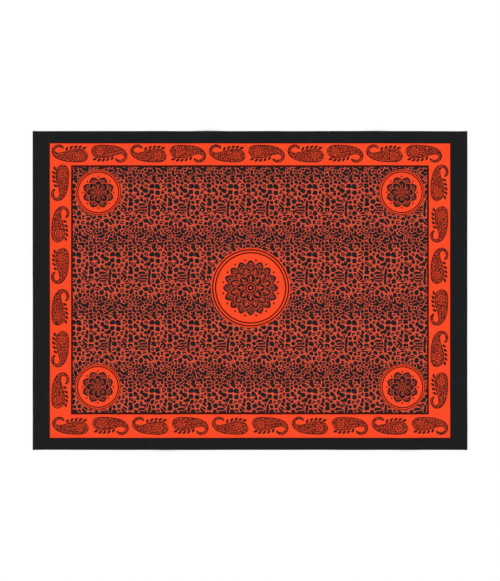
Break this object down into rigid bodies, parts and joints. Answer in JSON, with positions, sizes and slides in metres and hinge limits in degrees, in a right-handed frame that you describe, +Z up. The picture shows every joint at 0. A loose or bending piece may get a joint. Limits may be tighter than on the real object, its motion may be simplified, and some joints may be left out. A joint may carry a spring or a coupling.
{
  "type": "kanga wrap cloth",
  "caption": "Rectangular printed cotton wrap cloth, laid out flat, with low ripples and a narrow hem turned under along each cut end.",
  "frame": {"origin": "middle of the rectangle, on the surface that the cloth lies on", "axes": "+X along the cloth's length, from one hemmed end to the other; +Y along its width, from selvedge to selvedge; +Z up, out of its printed side"},
  "size_m": [1.5, 1.1, 0.0062],
  "materials": {
    "printed_cotton": "plain-weave cotton, matt with a faint sheen, printed in near-black on orange",
    "hem_cotton": "plain-weave cotton, matt, printed near-black"
  },
  "bodies": {
    "root": {"cloth_panel": "printed_cotton", "hem_left": "hem_cotton", "hem_right": "hem_cotton"}
  },
  "joints": []
}
